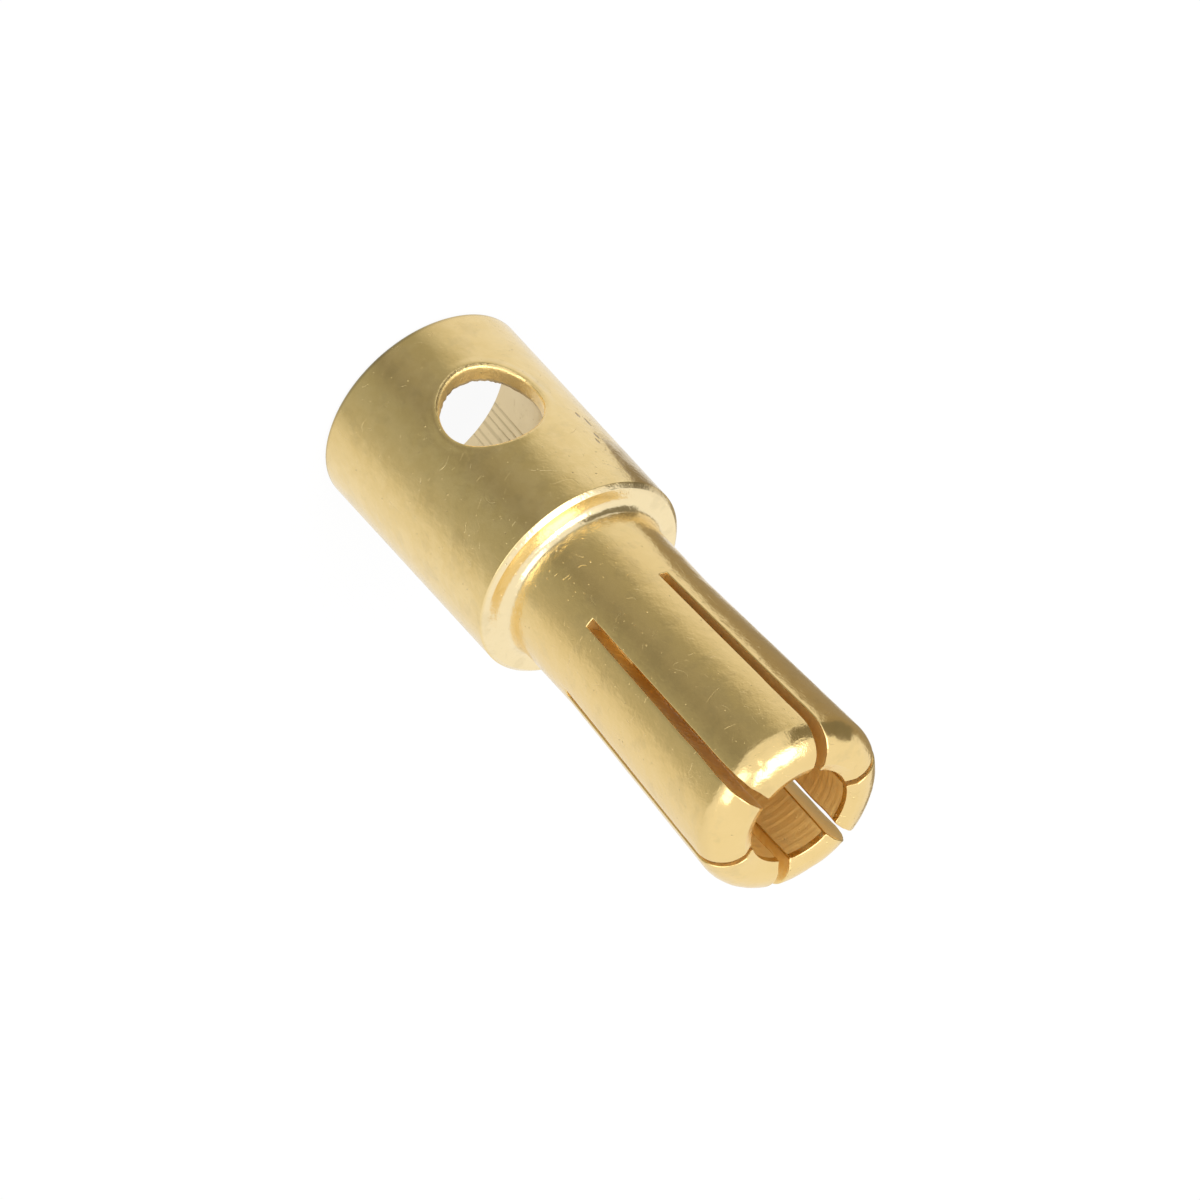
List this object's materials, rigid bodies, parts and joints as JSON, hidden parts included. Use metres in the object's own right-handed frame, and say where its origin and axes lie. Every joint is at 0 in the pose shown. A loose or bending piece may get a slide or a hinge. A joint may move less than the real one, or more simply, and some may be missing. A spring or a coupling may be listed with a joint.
{
  "type": "male battery lead bullet connector",
  "caption": "Gold-plated bullet plug: open solder cup with a side hole, a plain shoulder and a slit, slightly flared contact pin with a rounded, bored tip.",
  "frame": {"origin": "centre of the mouth of the solder cup, on the plane that the part stands on", "axes": "+Z along the part's axis, from the mouth of the cup to the tip of the pin; -Y out through the side solder hole"},
  "size_m": [0.005, 0.005, 0.0142],
  "materials": {
    "gold_plate": "satin gold plating over turned brass, with fine tool marks and light handling scratches"
  },
  "bodies": {
    "root": {"bullet_plug": "gold_plate"}
  },
  "joints": []
}
